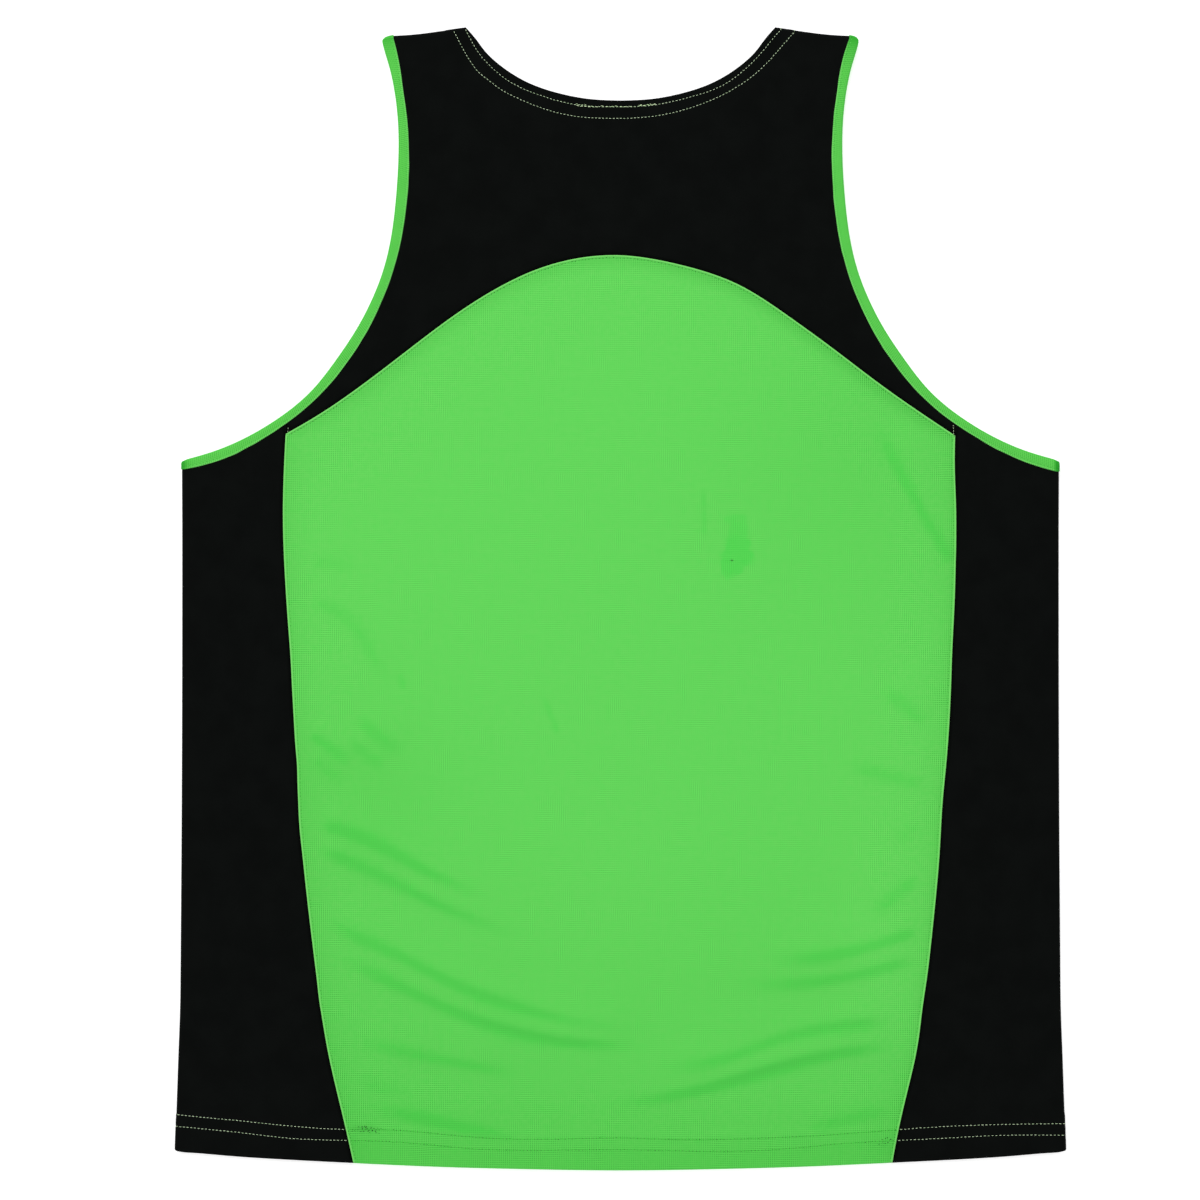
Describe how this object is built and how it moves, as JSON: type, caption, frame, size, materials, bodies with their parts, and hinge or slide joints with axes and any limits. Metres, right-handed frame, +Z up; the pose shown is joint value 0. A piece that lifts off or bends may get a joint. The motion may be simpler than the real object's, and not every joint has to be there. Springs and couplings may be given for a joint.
{
  "type": "athletic singlet",
  "caption": "Sleeveless athletic singlet laid flat with its back up: green mesh body, black yoke and sides, green bound armholes, turned scoop neck and hem.",
  "frame": {"origin": "centre of the laid garment's plan box, on the surface that it lies on", "axes": "+Y along the centre back from the hem to the neck, +X to the right of the picture, which is the wearer's right as the back is up, +Z up from the surface"},
  "size_m": [0.5882, 0.7543, 0.0053],
  "materials": {
    "black_knit": "smooth matte black polyester knit",
    "green_mesh": "bright green birdseye mesh knit, soft sheen",
    "green_binding": "bright green folded knit binding",
    "thread": "pale green polyester sewing thread"
  },
  "bodies": {
    "root": {"back_yoke": "black_knit", "back_panel": "green_mesh", "front_panel": "green_mesh", "side_left": "black_knit", "side_right": "black_knit", "binding_left": "green_binding", "binding_right": "green_binding"}
  },
  "joints": []
}
